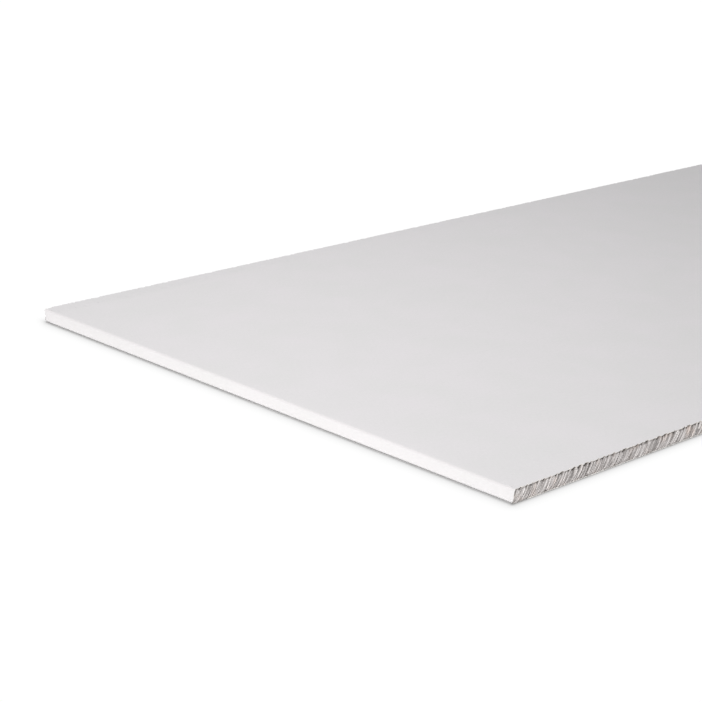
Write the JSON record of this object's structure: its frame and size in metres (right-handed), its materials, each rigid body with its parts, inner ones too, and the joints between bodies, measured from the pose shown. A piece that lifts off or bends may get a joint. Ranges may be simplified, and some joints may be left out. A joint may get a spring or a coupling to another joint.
{
  "type": "gypsum ceiling tile",
  "caption": "Flat rectangular gypsum tile faced with paper, with two paper wrapped edges and two sawn edges that show the core.",
  "frame": {"origin": "centre of the back, on the plane that the tile lies on", "axes": "+X along the sawn edges, from one wrapped edge to the other; +Y along the wrapped edges; +Z out of the face, upwards as stored"},
  "size_m": [1.195, 0.595, 0.0125],
  "materials": {
    "gypsum": "matt, with shallow saw marks where it is cut",
    "face_paper": "smooth, matt",
    "back_paper": "matt, flecked recycled fibre"
  },
  "bodies": {
    "root": {"gypsum_core": "gypsum", "face_liner": "face_paper", "back_liner": "back_paper"}
  },
  "joints": []
}
